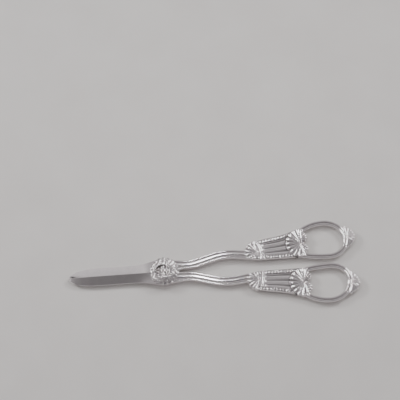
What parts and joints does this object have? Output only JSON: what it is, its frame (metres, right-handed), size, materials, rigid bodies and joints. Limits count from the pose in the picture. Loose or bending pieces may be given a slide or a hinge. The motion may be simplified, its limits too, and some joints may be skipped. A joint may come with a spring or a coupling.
{
  "type": "grape shears",
  "caption": "Silver grape shears with a lion mask at the pivot, reeded shanks, fluted panels and shell-mounted finger bows, lying closed.",
  "frame": {"origin": "on the pivot's axis, at the flat back of the rear lap plate, which is the plane that the shears lie on", "axes": "+X from the pivot towards the finger bows, +Y towards the back half's handle, +Z out of the mask's face"},
  "size_m": [0.1788, 0.0528, 0.0087],
  "materials": {
    "silver": "polished silver",
    "chased_silver": "cast and chased silver, darkened in the hollows",
    "steel": "fine ground steel"
  },
  "bodies": {
    "back_half": {"back_blade": "silver", "back_cutting_plate": "steel", "back_shank": "silver", "back_panel": "silver", "back_bow": "silver", "back_neck_shell_face": "chased_silver", "back_neck_shell_reverse": "chased_silver", "back_bow_shell_face": "chased_silver", "back_bow_shell_reverse": "chased_silver", "back_end_shell_face": "chased_silver", "back_end_shell_reverse": "chased_silver"},
    "front_half": {"front_blade": "silver", "front_cutting_plate": "steel", "front_shank": "silver", "front_panel": "silver", "front_bow": "silver", "front_neck_shell_face": "chased_silver", "front_neck_shell_reverse": "chased_silver", "front_bow_shell_face": "chased_silver", "front_bow_shell_reverse": "chased_silver", "front_end_shell_face": "chased_silver", "front_end_shell_reverse": "chased_silver", "lion_mask": "chased_silver", "pivot_screw": "steel"}
  },
  "joints": [
    {"name": "pivot", "type": "hinge", "parent": "back_half", "child": "front_half", "pos_m": [0, 0, 0.0024], "axis": [0, 0, -1], "range_deg": [0, 50]}
  ]
}
